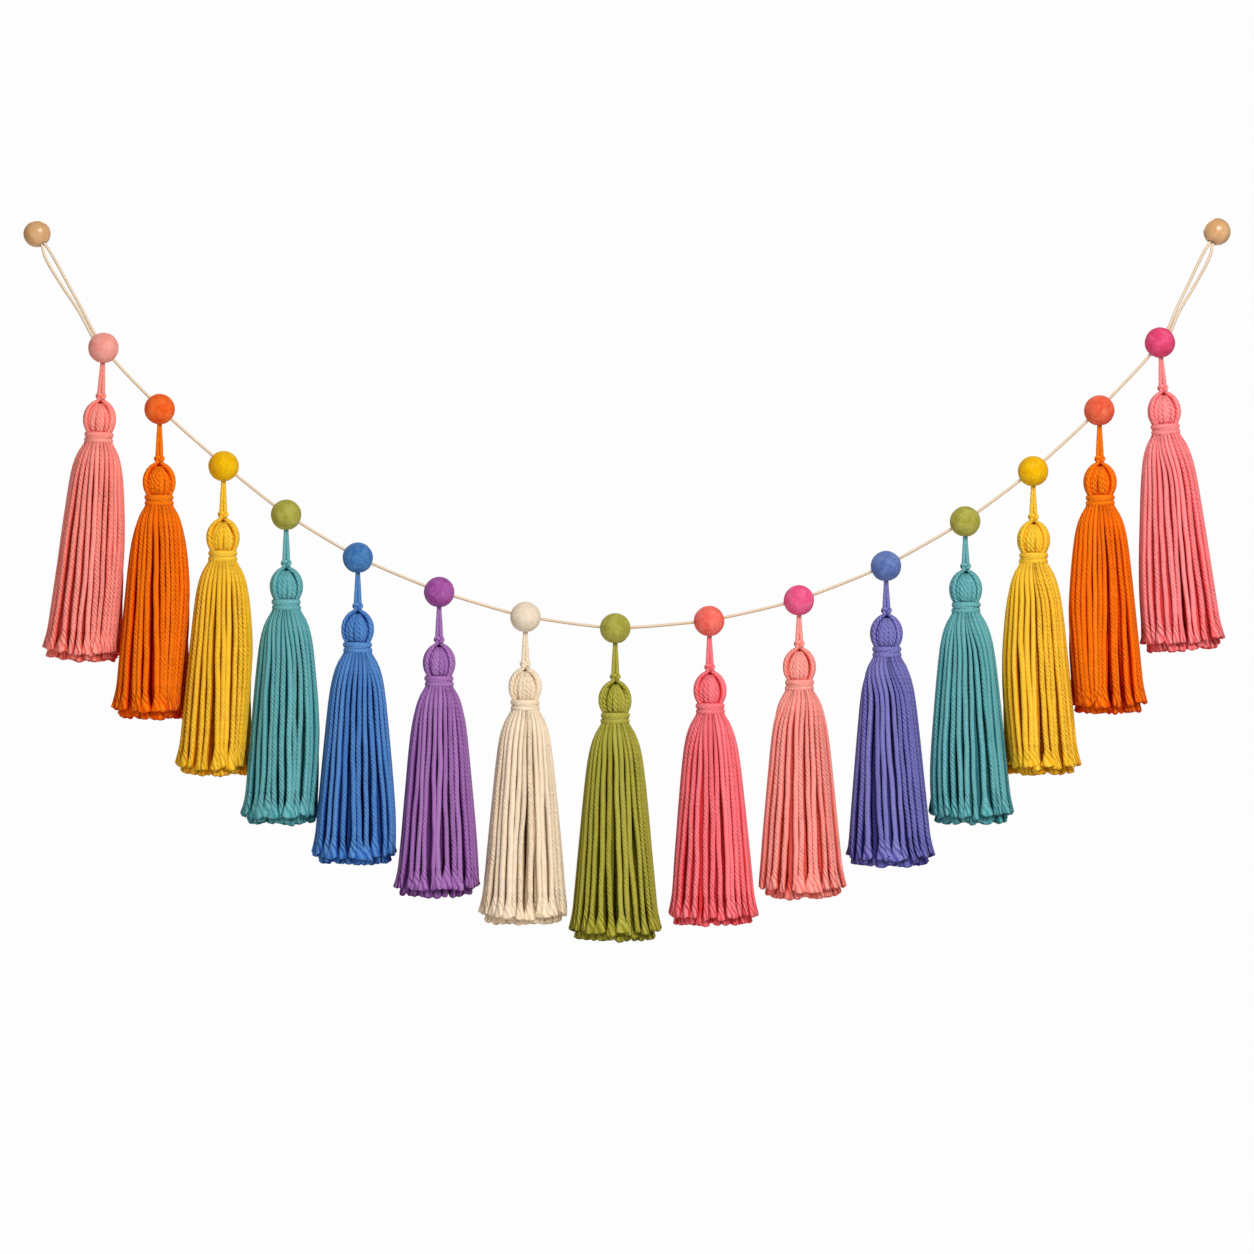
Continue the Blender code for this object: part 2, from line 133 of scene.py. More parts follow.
# Strands of a skirt: how closely they fill it at its top and lower down, which of them come out
# late and from how deep, how far their roots reach up, and how their cut ends open
CROWDED = 0.09
STRAND_SHARE = 0.82
CLOSED_TOP = 1.12
CLOSED_LENGTH = 26.0 * MM
LATE_STRANDS = 4
LATE_DEPTH = 0.9 * MM
SHORT_ROOT = 3.0 * MM
ROOT_INSET = 1.3 * MM
END_VARIES = (-1.4 * MM, 1.1 * MM)
OPENS_OVER = (15.0 * MM, 22.0 * MM)
OPENS_LATE = 1.7
# Length over which the painted shade on inner strands fades out towards their cut ends, where light
# reaches them.
END_LIT = 6.0 * MM
END_ROUNDING = (0.9, 0.6)

# Plies: how many, their spacing in millimetres, relief and painted shade in their furrows, then
# fibres and felt
PLIES = 4
PLY_SPACING = 3.0
PLY_RELIEF = 0.6 * MM
PLY_PAINTED_FURROW_SHADE = 0.85
# Pale yarn, and the share of the painted shade that it gets, since it passes the light on.
PALE_YARN = "sand"
PALE_PAINTED_SHADE_SHARE = 0.22
STRING_PLIES = 3
STRING_PLY_SPACING = 4.0
STRING_RELIEF = 0.08 * MM
STRING_PAINTED_FURROW_SHADE = 0.12
FIBRES_ROUND = 2.6
FIBRES_ALONG = 0.16
FELT_DRAWN = 0.14
FELT_FINENESS = 900.0
FELT_SWEPT = (0.012, 0.012, 0.012)

# Straight strands that are bent into place: sides, and runs of even steps along the length, each
# as its end and its number of steps
BLANKS = (
    ("outer", 16, ((0.2, 6), (0.86, 10), (1.0, 10))),
    ("inner", 12, ((0.2, 2), (0.86, 4), (1.0, 6))),
    ("core", 8, ((0.25, 2), (0.88, 2), (1.0, 3))),
    ("head", 12, ((1.0, 15),)),
    ("cord", 16, ((1.0, 60),)),
    ("string", 12, ((1.0, 300),)),
    ("tail", 12, ((1.0, 44),)),
)

# A ring of strands in the skirt: how many, how deep under the outside, full width of a strand,
# how much shorter in front and how much more at the sides, spread of its cut ends, and the
# painted shade that darkens it as if in the shadow deep inside the skirt
Ring = namedtuple("Ring", "count inset width shorter side_shorter broom shade")
OUTER_RING = Ring(27, 0.0, 3.75 * MM, 4.4 * MM, 2.6 * MM, 2.0 * MM, 0.0)
MIDDLE_RING = Ring(22, 3.8 * MM, 4.4 * MM, 0.9 * MM, 1.2 * MM, 1.5 * MM, 0.8)
CORE_RINGS = (
    Ring(17, 8.4 * MM, 4.8 * MM, 1.6 * MM, 0.0, 1.0 * MM, 0.95),
    Ring(10, 13.4 * MM, 5.2 * MM, 2.4 * MM, 0.0, 0.7 * MM, 0.97),
    Ring(4, 19.0 * MM, 5.6 * MM, 3.0 * MM, 0.0, 0.5 * MM, 0.97),
)

# Legs of a hanger: drop below the ball's centre, distance from its axis, and quarter turns round it
Leg = namedtuple("Leg", "drop offset turn")
EYE_CLEAR = 1.35 * MM
LEGS = (
    Leg(33.0 * MM, 1.3 * MM, 0.0),
    Leg(27.0 * MM, 1.22 * MM, 0.0),
    Leg(19.0 * MM, 0.98 * MM, 0.1),
    Leg(11.5 * MM, 0.75 * MM, 0.3),
    Leg(7.0 * MM, 1.2 * MM, 0.6),
)

# End loop in millimetres: distance from the bead's centre, offset of each strand above the line
# from bead to ball, and reach to the front
LoopRow = namedtuple("LoopRow", "along string tail front")
LOOP_NEAR_BEAD = (
    LoopRow(2.85, 1.15, -1.15, 0.93),
    LoopRow(9.51, 1.15, -1.15, 3.09),
    LoopRow(12.5, 1.5, -2.3, 3.8),
    LoopRow(16.5, 1.7, -3.0, 3.9),
    LoopRow(24.0, 1.6, -3.4, 2.9),
    LoopRow(40.0, 1.0, -2.9, 0.9),
    LoopRow(58.0, 0.55, -1.9, 0.1),
)

# Lean of each tassel to the right in degrees, how much a shorter hanger raises it in millimetres,
# and the colours of its felt and its yarn
Hanging = namedtuple("Hanging", "lean raised felt yarn")
HANGINGS = (
    Hanging(-3.0, 0.0, "salmon", "coral"),
    Hanging(-0.3, -0.8, "tangerine", "marigold"),
    Hanging(-0.5, 0.0, "yellow", "mustard"),
    Hanging(0.1, 0.0, "moss", "teal"),
    Hanging(-0.1, 0.0, "blue", "cobalt"),
    Hanging(0.0, 0.5, "purple", "violet"),
    Hanging(-0.2, 1.0, "cream", "sand"),
    Hanging(0.0, 0.0, "moss", "olive"),
    Hanging(0.7, 1.5, "red coral", "melon"),
    Hanging(0.4, 3.3, "rose", "peach"),
    Hanging(0.6, 2.6, "periwinkle", "indigo"),
    Hanging(0.6, 2.4, "moss", "teal"),
    Hanging(0.3, 1.8, "yellow", "mustard"),
    Hanging(0.6, 0.0, "vermilion", "marigold"),
    Hanging(3.6, 2.0, "raspberry", "pink"),
)
FELT_COLOURS = {
    "salmon": (229, 159, 148),
    "tangerine": (228, 106, 42),
    "yellow": (225, 178, 9),
    "moss": (168, 163, 78),
    "blue": (76, 125, 175),
    "purple": (163, 91, 158),
    "cream": (224, 209, 188),
    "red coral": (230, 117, 104),
    "rose": (224, 99, 140),
    "periwinkle": (107, 126, 177),
    "vermilion": (220, 106, 76),
    "raspberry": (213, 80, 120),
}
YARN_COLOURS = {
    "coral": (249, 161, 150),
    "marigold": (243, 134, 20),
    "mustard": (244, 202, 69),
    "teal": (120, 183, 187),
    "cobalt": (101, 149, 205),
    "violet": (176, 128, 187),
    "sand": (243, 224, 198),
    "olive": (182, 176, 81),
    "melon": (247, 136, 143),
    "peach": (249, 169, 159),
    "indigo": (137, 133, 194),
    "pink": (249, 153, 154),
}
STRING_COLOUR = (222, 204, 180)
WOOD_COLOUR = (204, 160, 112)
YARN_SURFACE = {
    "Roughness": 0.95,
    "Specular IOR Level": 0.05,
    "Sheen Weight": 0.02,
    "Sheen Roughness": 0.45,
}
FELT_SURFACE = {**YARN_SURFACE, "Sheen Weight": 0.08, "Sheen Roughness": 0.4}
WOOD_SURFACE = {
    "Roughness": 0.38,
    "Specular IOR Level": 0.4,
    "Coat Weight": 0.35,
    "Coat Roughness": 0.22,
}

# Floor, sky and camera: FLOOR_REACH, FRAMED and FRAME_DROP are shares of the garland's width
FLOOR_REACH = 2.2
FLOOR_DROP = 0.45
FLOOR_COLOUR = (0.86, 0.86, 0.85, 1.0)
SKY_STRENGTH = 0.33
SKY_SEEN = (0.983, 0.983, 0.983, 1.0)
LENS = 250.0
SENSOR = 36.0
FRAMED = 1.039
FRAME_DROP = 0.0397
Lamp = namedtuple("Lamp", "name place size power")
LAMPS = (
    Lamp("key", (0.9, -2.0, 1.4), 0.9, 62.0),
    Lamp("fill", (-1.6, -1.8, -0.2), 1.6, 8.0),
    Lamp("back", (-0.5, 2.2, 1.2), 1.6, 34.0),
)


# ---- small helpers

def linear(colour):
    """A display colour as the linear colour a shader takes."""
    shares = np.array(colour) / 255.0
    curved = np.where(shares <= 0.04045, shares / 12.92, ((shares + 0.055) / 1.055) ** 2.4)
    return [float(value) for value in curved] + [1.0]


def smooth(share):
    """Ease from 0 to 1."""
    share = np.clip(share, 0.0, 1.0)
    return share * share * (3.0 - 2.0 * share)


def start_clean(piece=None):
    """Nothing selected but the piece, if given, so that the next operator acts on it alone."""
    bpy.ops.object.select_all(action="DESELECT")
    if piece is not None:
        piece.select_set(True)
        bpy.context.view_layer.objects.active = piece


def edit_mode(entered):
    bpy.ops.object.mode_set(mode="EDIT" if entered else "OBJECT")


def add_object(name, data):
    made = bpy.data.objects.new(name, data)
    bpy.context.scene.collection.objects.link(made)
    return made


def add_attribute(mesh, label, values):
    """Store three numbers at each point of a mesh."""
    layer = mesh.attributes.new(label, "FLOAT_VECTOR", "POINT")
    layer.data.foreach_set("vector", values.ravel())


def point_array(mesh):
    points = np.zeros(3 * len(mesh.vertices))
    mesh.vertices.foreach_get("co", points)
    return points.reshape(-1, 3)


def rounded_way(knots, stations):
    """Points at even shares along a smooth curve through knots."""
    knots = np.array([tuple(knot) for knot in knots])
    padded = np.vstack((2.0 * knots[0] - knots[1], knots, 2.0 * knots[-1] - knots[-2]))
    share = np.linspace(0.0, 1.0, 9)[:-1, None]
    pieces = []
    for before, here, there, after in zip(padded, padded[1:], padded[2:], padded[3:]):
        chord = max(np.linalg.norm(there - here), 1e-9)
        leave = (there - before) * chord / (np.linalg.norm(here - before) + chord)
        arrive = (after - here) * chord / (np.linalg.norm(after - there) + chord)
        square = share**2
        cube = share**3
        pieces.append(
            here * (2 * cube - 3 * square + 1)
            + leave * (cube - 2 * square + share)
            + there * (3 * square - 2 * cube)
            + arrive * (cube - square)
        )
    dense = np.vstack(pieces + [knots[-1:]])
    reached = np.concatenate(([0.0], np.cumsum(np.linalg.norm(np.diff(dense, axis=0), axis=1))))
    wanted = np.array(stations) * reached[-1]
    return np.stack([np.interp(wanted, reached, dense[:, axis]) for axis in range(3)], axis=1)


# ---- strand blanks

Blank = namedtuple("Blank", "sides stations column row scale starts corners")


def model_blank(name, sides, stations):
    """Model a straight strand of unit radius and length, drawn out of a round section."""
    start_clean()
    bpy.ops.mesh.primitive_circle_add(vertices=sides, radius=1.0, fill_type="NGON")
    blank = bpy.context.object
    blank.name = name
    edit_mode(True)
    bpy.ops.mesh.select_all(action="SELECT")
    for before, station in zip(stations, stations[1:]):
        step = (0.0, 0.0, station - before)
        bpy.ops.mesh.extrude_region_move(TRANSFORM_OT_translate={"value": step})
    for shrink in END_ROUNDING:
        bpy.ops.mesh.extrude_region_move(TRANSFORM_OT_translate={"value": (0.0, 0.0, 0.0)})
        bpy.ops.transform.resize(value=(shrink, shrink, 1.0))
    edit_mode(False)

    mesh = blank.data
    points = point_array(mesh)
    starts = np.zeros(len(mesh.polygons), np.int64)
    corners = np.zeros(len(mesh.loops), np.int64)
    mesh.polygons.foreach_get("loop_start", starts)
    mesh.loops.foreach_get("vertex_index", corners)
    turn = np.arctan2(points[:, 1], points[:, 0]) * sides / FULL_TURN
    column = np.rint(turn).astype(int) % sides
    row = np.abs(points[:, 2:3] - np.array(stations)[None, :]).argmin(axis=1)
    scale = np.hypot(points[:, 0], points[:, 1])
    bpy.data.objects.remove(blank, do_unlink=True)
    return Blank(sides, np.array(stations), column, row, scale, starts, corners)


def spaced(*runs):
    """Stations from 0 to 1 in runs of even steps, each run given as its end and its steps."""
    stations = [0.0]
    for end, steps in runs:
        start = stations[-1]
        stations.extend(start + (end - start) * (step + 1) / steps for step in range(steps))
    return stations


class Skein:
    """Strands that are laid one by one and end up in one mesh."""

    def __init__(self, raised=0.0):
        self.raised = raised
        self.points = []
        self.lays = []
        self.painted_shades_and_tones = []
        self.painted_flank_shades = []
        self.starts = []
        self.corners = []
        self.point_count = 0
        self.corner_count = 0

    def lay(self, blank, way, outward, halves, painted_shade_and_tone, painted_flank_shade=1.0, opening=0.0, ragged=None):
        """Bend a copy of a blank along a way, given at the blank's stations.

        outward is the side of the strand that faces out, and halves its half widths that way and
        across. Three numbers give its painted shade, as of a strand in the shadow deep inside the
        skirt, the strength of its plies and its random brightness, and one more gives how much
        painted shade darkens its sides, where they turn away from outward. opening is how far the
        plies have come apart, and ragged how much further each side of the cut end reaches.
        """
        way = np.array(way) + np.array((0.0, 0.0, self.raised))
        stations = len(way)
        ahead = np.gradient(way, axis=0)
        ahead /= np.linalg.norm(ahead, axis=1, keepdims=True)
        out = np.broadcast_to(np.array(outward, float), way.shape)
        out = out - (out * ahead).sum(axis=1, keepdims=True) * ahead
        out /= np.linalg.norm(out, axis=1, keepdims=True)
        across = np.cross(ahead, out)
        out_half, side_half = (np.broadcast_to(half, stations) for half in halves)
        opening = np.broadcast_to(opening, stations)
        steps = np.linalg.norm(np.diff(way, axis=0), axis=1) * (1.0 - 0.85 * opening[1:])
        wound = np.concatenate(([0.0], np.cumsum(steps)))
        painted_shades_and_tones = [np.broadcast_to(value, stations)[blank.row] for value in painted_shade_and_tone]

        row = blank.row
        angle = FULL_TURN * blank.column / blank.sides
        furrow = 1.0 + (0.01 + 0.1 * opening[row]) * np.where(blank.column % 2, -1.0, 1.0)
        wide_out = (out_half[row] * blank.scale * furrow * np.cos(angle))[:, None]
        wide_side = (side_half[row] * blank.scale * furrow * np.sin(angle))[:, None]
        dome = 0.9 * (1.0 - blank.scale) * out_half[row]
        if ragged is not None:
            near_end = smooth((blank.stations[row] - 0.9) / 0.1) * blank.scale
            dome = dome + near_end * np.array(ragged)[blank.column]
        points = way[row] + out[row] * wide_out + across[row] * wide_side
        points = points + ahead[row] * dome[:, None]
        self.points.append(points)
        self.lays.append(np.stack((np.cos(angle), np.sin(angle), wound[row] / MM), axis=1))
        self.painted_shades_and_tones.append(np.stack(painted_shades_and_tones, axis=1))
        self.painted_flank_shades.append(np.broadcast_to(painted_flank_shade, stations)[row])
        self.starts.append(blank.starts + self.corner_count)
        self.corners.append(blank.corners + self.point_count)
        self.point_count += len(points)
        self.corner_count += len(blank.corners)

    def wind_up(self, name, finish, matrix=Matrix.Identity(4)):
        """Make the strands one object, in place."""
        points = np.vstack(self.points)
        placed = np.array(matrix)
        points = points @ placed[:3, :3].T + placed[:3, 3]
        mesh = bpy.data.meshes.new(name)
        starts = np.concatenate(self.starts)
        corners = np.concatenate(self.corners)
        mesh.vertices.add(len(points))
        mesh.vertices.foreach_set("co", points.ravel())
        mesh.loops.add(len(corners))
        mesh.loops.foreach_set("vertex_index", corners)
        mesh.polygons.add(len(starts))
        mesh.polygons.foreach_set("loop_start", starts)
        mesh.update(calc_edges=True)
        mesh.validate()
        add_attribute(mesh, "lay", np.vstack(self.lays))
        add_attribute(mesh, "painted_shade_and_tone", np.vstack(self.painted_shades_and_tones))
        # Per point strength of the painted shade on the strands' sides.
        layer = mesh.attributes.new("painted_flank_shade", "FLOAT", "POINT")
        layer.data.foreach_set("value", np.concatenate(self.painted_flank_shades))
        mesh.shade_smooth()
        mesh.materials.append(finish)
        return add_object(name, mesh)


# ---- materials

class Recipe:
    """A material's node tree in one colour, built up in short steps."""

    def __init__(self, name, colour):
        self.colour = colour
        self.material = bpy.data.materials.new(name)
        self.material.use_nodes = True
        self.tree = self.material.node_tree
        self.shader = self.tree.nodes["Principled BSDF"]

    def node(self, kind, **settings):
        made = self.tree.nodes.new(kind)
        for key, value in settings.items():
            setattr(made, key, value)
        return made

    def plug(self, value, socket):
        if isinstance(value, bpy.types.NodeSocket):
            self.tree.links.new(value, socket)
        else:
            socket.default_value = value

    def fed(self, made, *values):
        """The first output of a node whose inputs are plugged in their order."""
        for value, socket in zip(values, made.inputs):
            self.plug(value, socket)
        return made.outputs[0]

    def math(self, operation, *values):
        return self.fed(self.node("ShaderNodeMath", operation=operation), *values)

    def times(self, first, second):
        return self.math("MULTIPLY", first, second)

    def attribute(self, name, output="Vector"):
        return self.node("ShaderNodeAttribute", attribute_name=name).outputs[output]

    def split(self, vector):
        made = self.node("ShaderNodeSeparateXYZ")
        self.plug(vector, made.inputs[0])
        return made.outputs

    def joined(self, x, y, z):
        return self.fed(self.node("ShaderNodeCombineXYZ"), x, y, z)

    def grain(self, vector, scale, detail=2.0, distortion=0.0, output="Fac"):
        """A noise texture's value, or its colour."""
        made = self.node("ShaderNodeTexNoise")
        self.plug(vector, made.inputs["Vector"])
        made.inputs["Scale"].default_value = scale
        made.inputs["Detail"].default_value = detail
        made.inputs["Distortion"].default_value = distortion
        return made.outputs[output]

    def spread(self, value, low, high, to_low, to_high):
        """A value eased from one range onto another."""
        made = self.node("ShaderNodeMapRange", interpolation_type="SMOOTHSTEP")
        return self.fed(made, value, low, high, to_low, to_high)

    def blend(self, share, first, second):
        made = self.node("ShaderNodeMix", data_type="RGBA")
        self.plug(share, made.inputs["Factor"])
        self.plug(first, made.inputs["A"])
        self.plug(second, made.inputs["B"])
        return made.outputs["Result"]

    def ground(self, share, depth):
        """The colour itself, and a deeper one where the share is low."""
        return self.blend(share, deeper(self.colour, depth), linear(self.colour))

    def deepen(self, body, share, depth):
        return self.blend(share, body, deeper(self.colour, depth))

    def bump(self, height, distance, strength=1.0, under=None):
        made = self.node("ShaderNodeBump")
        made.inputs["Strength"].default_value = strength
        made.inputs["Distance"].default_value = distance
        self.plug(height, made.inputs["Height"])
        if under is not None:
            self.plug(under, made.inputs["Normal"])
        return made.outputs["Normal"]

    def finish(self, colour, normal, surface):
        self.plug(colour, self.shader.inputs["Base Color"])
        self.plug(normal, self.shader.inputs["Normal"])
        for name, value in surface.items():
            self.plug(value, self.shader.inputs[name])
        return self.material


def deeper(colour, share):
    """The same hue, darker and richer: for random mottling, fibres and grain, and for painted shade
    between strands and plies.
    """
    lit = linear(colour)
    return [lit[0] ** (1.0 + share), lit[1] ** (1.0 + share), lit[2] ** (1.0 + share), 1.0]


def plied(name, colour, plies, spacing, relief, painted_furrow_shade, depth=1.0, uneven=1.5):
    """Plied yarn or string: ridges that wind round the strand, with fibres along them.

    Painted shade darkens the sides of a strand, where it lies against the next, the furrows
    between its plies and the strands deep inside the tassel; pale yarn, which passes the light on,
    gets less of it.
    """
    recipe = Recipe(name, colour)
    cosine, sine, along = recipe.split(recipe.attribute("lay"))
    shade, ply_strength, brightness = recipe.split(recipe.attribute("painted_shade_and_tone"))
    painted_flank_shade = recipe.attribute("painted_flank_shade", "Fac")
    turn = recipe.math("ARCTAN2", sine, cosine)
    winding = recipe.times(along, math.pi / spacing)
    phase = recipe.math("MULTIPLY_ADD", turn, 0.5 * plies, winding)
    place = recipe.node("ShaderNodeTexCoord").outputs["Object"]
    phase = recipe.math("MULTIPLY_ADD", recipe.grain(place, 260.0, detail=1.0), uneven, phase)
    ridge = recipe.math("ABSOLUTE", recipe.math("SINE", phase))
    fibre_turn = recipe.math("DIVIDE", phase, 0.5 * plies)
    fibre_x = recipe.times(recipe.math("COSINE", fibre_turn), FIBRES_ROUND)
    fibre_y = recipe.times(recipe.math("SINE", fibre_turn), FIBRES_ROUND)
    fibre_place = recipe.joined(fibre_x, fibre_y, recipe.times(along, FIBRES_ALONG))
    fibres = recipe.grain(fibre_place, 2.2, detail=3.0)
    fuzz = recipe.grain(place, 1400.0)
    mottle = recipe.grain(place, 60.0)

    lightness = recipe.math("MULTIPLY_ADD", mottle, 0.5, brightness)
    lightness = recipe.math("MULTIPLY_ADD", fuzz, 0.4, lightness)
    body = recipe.ground(recipe.spread(lightness, 0.3, 0.95, 0.0, 1.0), 0.25)
    shown = recipe.times(ply_strength, recipe.spread(mottle, 0.3, 0.6, 0.55, 1.0))
    # Painted shade in the furrows between the plies.
    furrow = recipe.times(recipe.spread(ridge, 0.0, 0.9, painted_furrow_shade, 0.0), shown)
    body = recipe.deepen(body, furrow, 0.8)
    streak = recipe.times(recipe.spread(fibres, 0.32, 0.6, 0.34, 0.0), ply_strength)
    body = recipe.deepen(body, streak, 0.7)
    # Painted shade on a strand's sides, where they turn away from the outside and lie against the
    # next strand.
    facing = recipe.math("MULTIPLY_ADD", ridge, 0.2, cosine)
    beside = recipe.times(recipe.spread(facing, 0.15, 0.9, 0.95 * depth, 0.0), painted_flank_shade)
    body = recipe.deepen(body, beside, 1.4)
    # Painted shade on inner strands and the filling, as if in the shadow inside the tassel.
    body = recipe.deepen(body, recipe.times(shade, depth), 2.0)
    normal = recipe.bump(recipe.times(ridge, shown), relief)
    normal = recipe.bump(fibres, 0.8 * relief, under=normal)
    normal = recipe.bump(fuzz, 0.15 * MM, strength=0.8, under=normal)
    return recipe.finish(body, normal, YARN_SURFACE)


def felted(name, colour):
    """Needled wool felt: short fibres that swirl and cross on a slightly mottled ground."""
    recipe = Recipe(name, colour)
    place = recipe.node("ShaderNodeTexCoord").outputs["Object"]
    swept = recipe.grain(place, 75.0, detail=0.0, output="Color")
    swirl = recipe.node("ShaderNodeVectorMath", operation="MULTIPLY_ADD")
    x, y, z = recipe.split(recipe.fed(swirl, swept, FELT_SWEPT, place))
    upright = recipe.grain(recipe.joined(x, y, recipe.times(z, FELT_DRAWN)), FELT_FINENESS)
    level = recipe.grain(recipe.joined(recipe.times(x, FELT_DRAWN), y, z), FELT_FINENESS)
    mottle = recipe.grain(place, 170.0, detail=3.0)
    body = recipe.ground(recipe.spread(mottle, 0.3, 0.7, 0.0, 1.0), 0.3)
    lit = linear(colour)[:3]
    pale = [0.85 * value + 0.15 * max(lit) for value in lit] + [1.0]
    body = recipe.deepen(body, recipe.spread(upright, 0.3, 0.5, 0.4, 0.0), 0.6)
    body = recipe.deepen(body, recipe.spread(level, 0.3, 0.48, 0.35, 0.0), 0.5)
    body = recipe.blend(recipe.spread(upright, 0.55, 0.75, 0.0, 0.35), body, pale)
    height = recipe.math("ADD", upright, level)
    normal = recipe.bump(mottle, 0.5 * MM, strength=0.7)
    normal = recipe.bump(height, 0.3 * MM, strength=0.9, under=normal)
    return recipe.finish(body, normal, FELT_SURFACE)


def turned_wood(name, colour):
    """Pale varnished wood with straight fine grain along the hole."""
    recipe = Recipe(name, colour)
    place = recipe.attribute("grain")
    x, y, z = recipe.split(place)
    drawn_out = recipe.joined(x, y, recipe.times(z, 0.12))
    fine = recipe.grain(drawn_out, 900.0, detail=4.0)
    bands = recipe.grain(drawn_out, 170.0, detail=2.0, distortion=0.6)
    pores = recipe.spread(recipe.grain(drawn_out, 1500.0), 0.62, 0.72, 0.0, 0.45)
    body = recipe.ground(recipe.spread(bands, 0.35, 0.65, 0.0, 1.0), 0.22)
    body = recipe.deepen(body, recipe.spread(fine, 0.4, 0.7, 0.0, 0.35), 0.5)
    body = recipe.deepen(body, pores, 1.0)
    normal = recipe.bump(fine, 0.05 * MM, strength=0.5)
    return recipe.finish(body, normal, WOOD_SURFACE)


# ---- where things hang

def ball_name(index):
    return "felt_ball_%02d" % (index + 1)


def tassel_name(index):
    return "tassel_%02d" % (index + 1)


def ball_centre(index):
    """Centre of a felt ball: under the middle of its top."""
    low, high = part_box(ball_name(index))
    return Vector((0.5 * (low.x + high.x), 0.0, high.z - FELT_RADIUS))


def bead_centre(name):
    low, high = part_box(name)
    return 0.5 * (low + high)


CENTRES = [ball_centre(index) for index in range(len(HANGINGS))]
LEFT_BEAD = bead_centre("wood_bead_left")
RIGHT_BEAD = bead_centre("wood_bead_right")
LAST = len(HANGINGS) - 1


def above(run):
    """Unit vector square to a run, on its upper side."""
    up = Vector((-run.z, 0.0, run.x)).normalized()
    return up if up.z > 0.0 else -up


def bore_way(index):
    """Direction of the string inside a ball: between the runs on its two sides."""
    before = LEFT_BEAD if index == 0 else CENTRES[index - 1]
    after = RIGHT_BEAD if index == LAST else CENTRES[index + 1]
    arriving = (CENTRES[index] - before).normalized()
    leaving = (after - CENTRES[index]).normalized()
    return (arriving + leaving).normalized()


def bore_centre(index):
    return CENTRES[index] + above(bore_way(index)) * STRING_RAISED


def lean_of(index):
    return math.radians(HANGINGS[index].lean)


def tassel_matrix(index):
    """Frame at the ball's centre that leans with the tassel."""
    return Matrix.Translation(CENTRES[index]) @ Matrix.Rotation(-lean_of(index), 4, "Y")


def bundle_matrix(index):
    """Frame of the head, neck and skirt, raised where the hanger is shorter."""
    return tassel_matrix(index) @ Matrix.Translation((0.0, 0.0, HANGINGS[index].raised * MM))


def skirt_length(index):
    """Drop of the longest strands below the neck."""
    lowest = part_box(tassel_name(index))[0].z
    top = bundle_matrix(index) @ Vector((0.0, 0.0, -SKIRT_TOP))
    return (top.z - lowest) / math.cos(lean_of(index))


LENGTHS = [skirt_length(index) for index in range(len(HANGINGS))]


# ---- skirt of strands

def skirt_radius(index, drop):
    """Free half-width of a skirt at drops below its neck."""
    bell = BELL * (1.0 - np.exp(-drop / BELL_FADE))
    flare = np.clip(1.0 - (LENGTHS[index] - drop) / FLARE_LENGTH, 0.0, 1.0)
    return ROOT_RADIUS + bell + SPREAD * drop + FLARE * flare**2


def lesser(first, second):
    """The lesser of two lengths, eased where they cross."""
    return 0.5 * (first + second - np.sqrt((first - second) ** 2 + PRESSED_EASE**2))


def beside(index, drop):
    """Side of a skirt's lower neighbour, its distance and its radius at the same heights."""
    side = 1 if index < CENTRE_TASSEL else -1
    neighbour = index + side
    top = bundle_matrix(index) @ Vector((0.0, 0.0, -SKIRT_TOP))
    neighbour_top = bundle_matrix(neighbour) @ Vector((0.0, 0.0, -SKIRT_TOP))
    lean = lean_of(index)
    neighbour_lean = lean_of(neighbour)
    below = neighbour_top.z - (top.z - drop * math.cos(lean))
    axis = top.x + drop * math.sin(lean)
    neighbour_axis = neighbour_top.x + below * math.tan(neighbour_lean)
    neighbour_drop = np.clip(below / math.cos(neighbour_lean), 0.0, LENGTHS[neighbour])
    return side, side * (neighbour_axis - axis), skirt_radius(neighbour, neighbour_drop)


def outside(index, drop, angle):
    """Outside of a skirt at drops and angles round it, across and deep.

    A skirt is squeezed where it meets its lower neighbour, and passes behind it.
    """
    free = skirt_radius(index, drop)
    across = free * np.cos(angle)
    deep = free * np.sin(angle)
    if index == CENTRE_TASSEL:
        return across, deep
    side, distance, radius = beside(index, drop)
    radius = radius + SKIRT_APART
    sideways = np.abs(np.cos(angle))
    in_front = lesser(free, distance - radius) * sideways
    eased = radius + BEHIND_EASE * np.clip(deep, 0.0, None)
    chord = np.sqrt(np.clip(eased**2 - deep**2, 0.0, None))
    behind = sideways * lesser(free, (distance - chord) / np.maximum(sideways, 0.2))
    squeezed = side * np.where(deep > 0.0, behind, in_front)
    return np.where(side * across > 0.0, squeezed, across), deep


